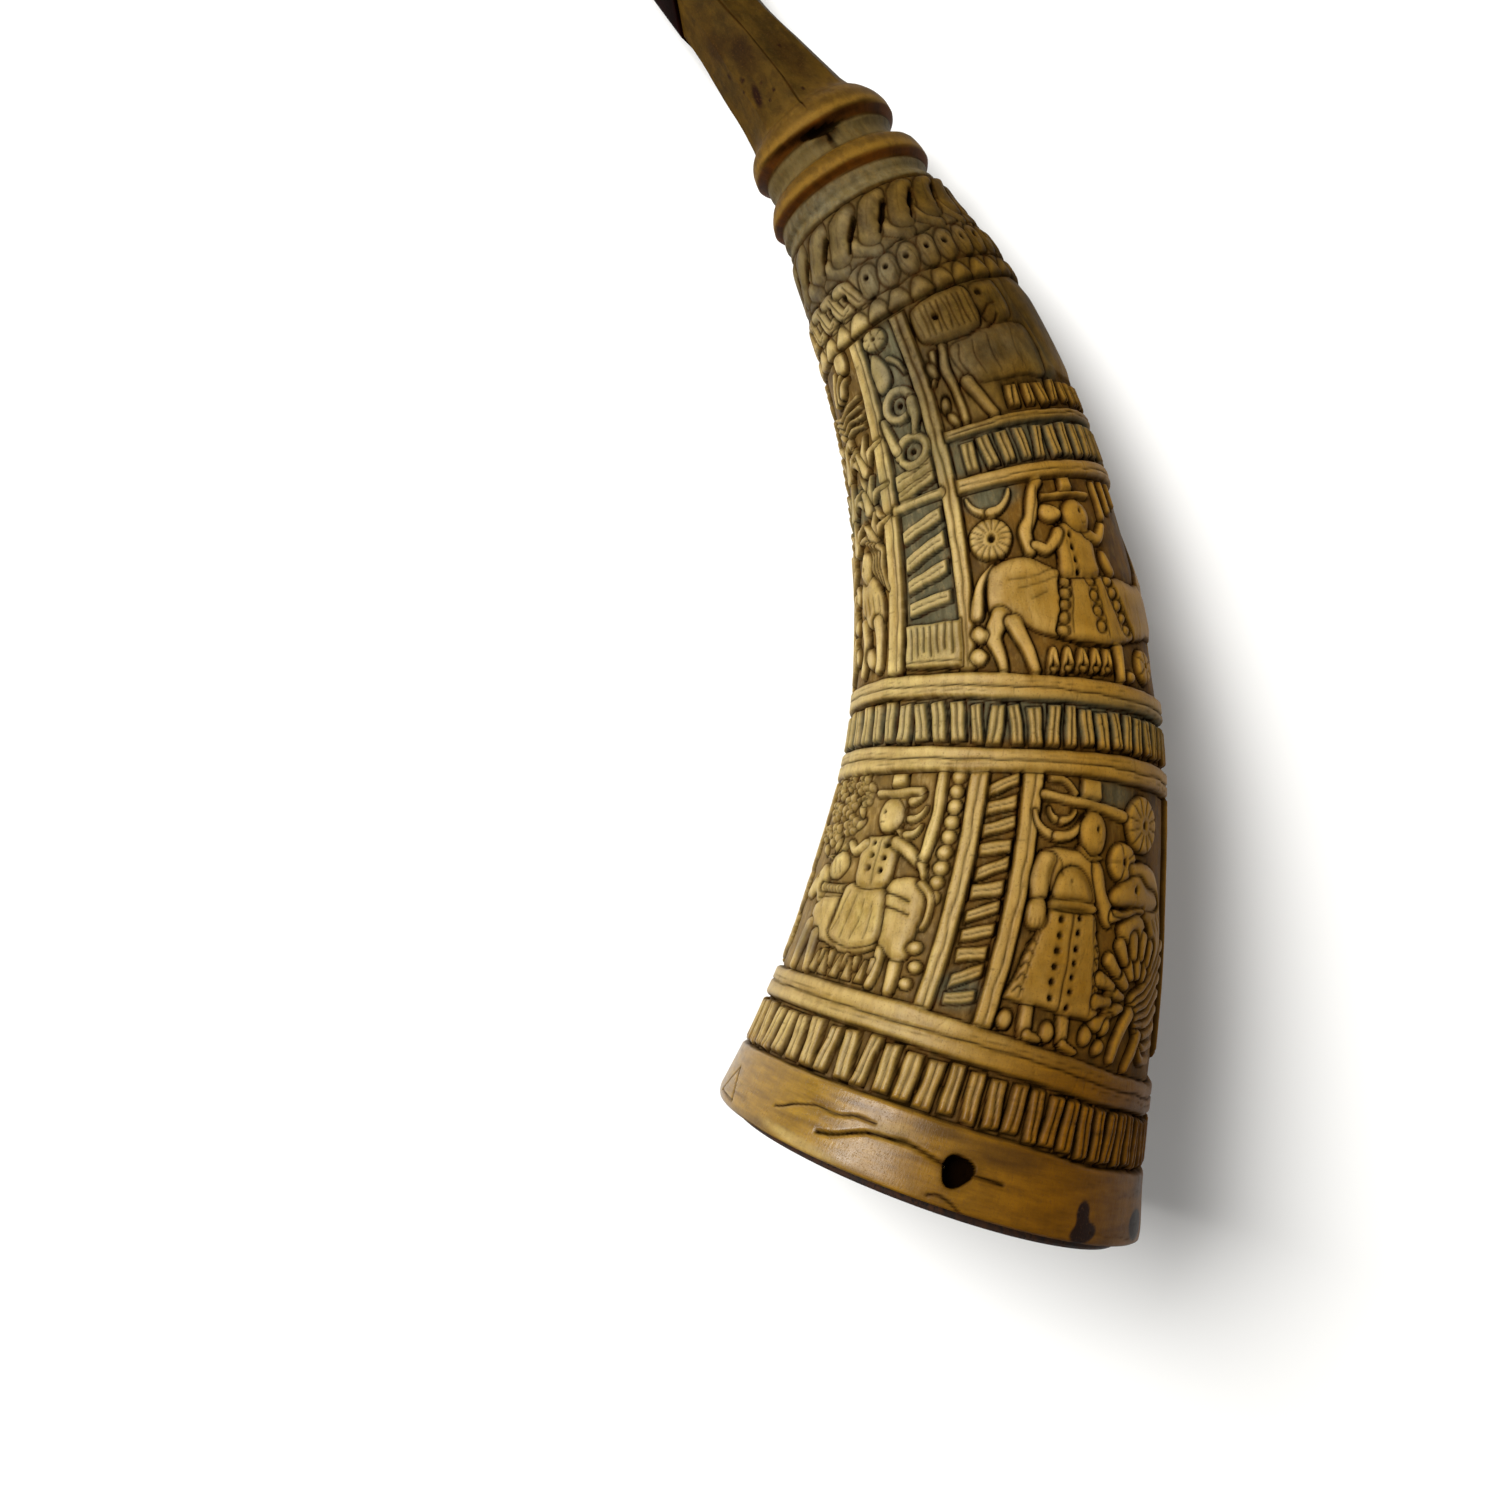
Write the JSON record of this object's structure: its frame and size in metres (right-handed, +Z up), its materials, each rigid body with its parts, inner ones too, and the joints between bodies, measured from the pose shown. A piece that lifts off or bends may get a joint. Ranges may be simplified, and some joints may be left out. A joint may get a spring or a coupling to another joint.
{
  "type": "powder horn",
  "caption": "Bent cow-horn flask for powder, carved in low relief with figures and bands, with a wooden base plug, turned collars, a faceted spout and a dark cap stopper, lying on its side.",
  "frame": {"origin": "on the floor plane, in the middle of the bounding box of the lying horn", "axes": "+Z up from the floor it lies on, +Y from the wide end towards the pouring end, +X towards the outer side of the bend"},
  "size_m": [0.0966, 0.2376, 0.0731],
  "materials": {
    "cow_horn": "aged cow horn, polished by handling, with dirt-darkened low relief carving",
    "plug_wood": "dark-stained hardwood, dull",
    "dark_horn": "dark maroon-black horn, worn satin"
  },
  "bodies": {
    "root": {"horn_body": "cow_horn", "base_plug": "plug_wood", "stopper": "dark_horn"}
  },
  "joints": []
}
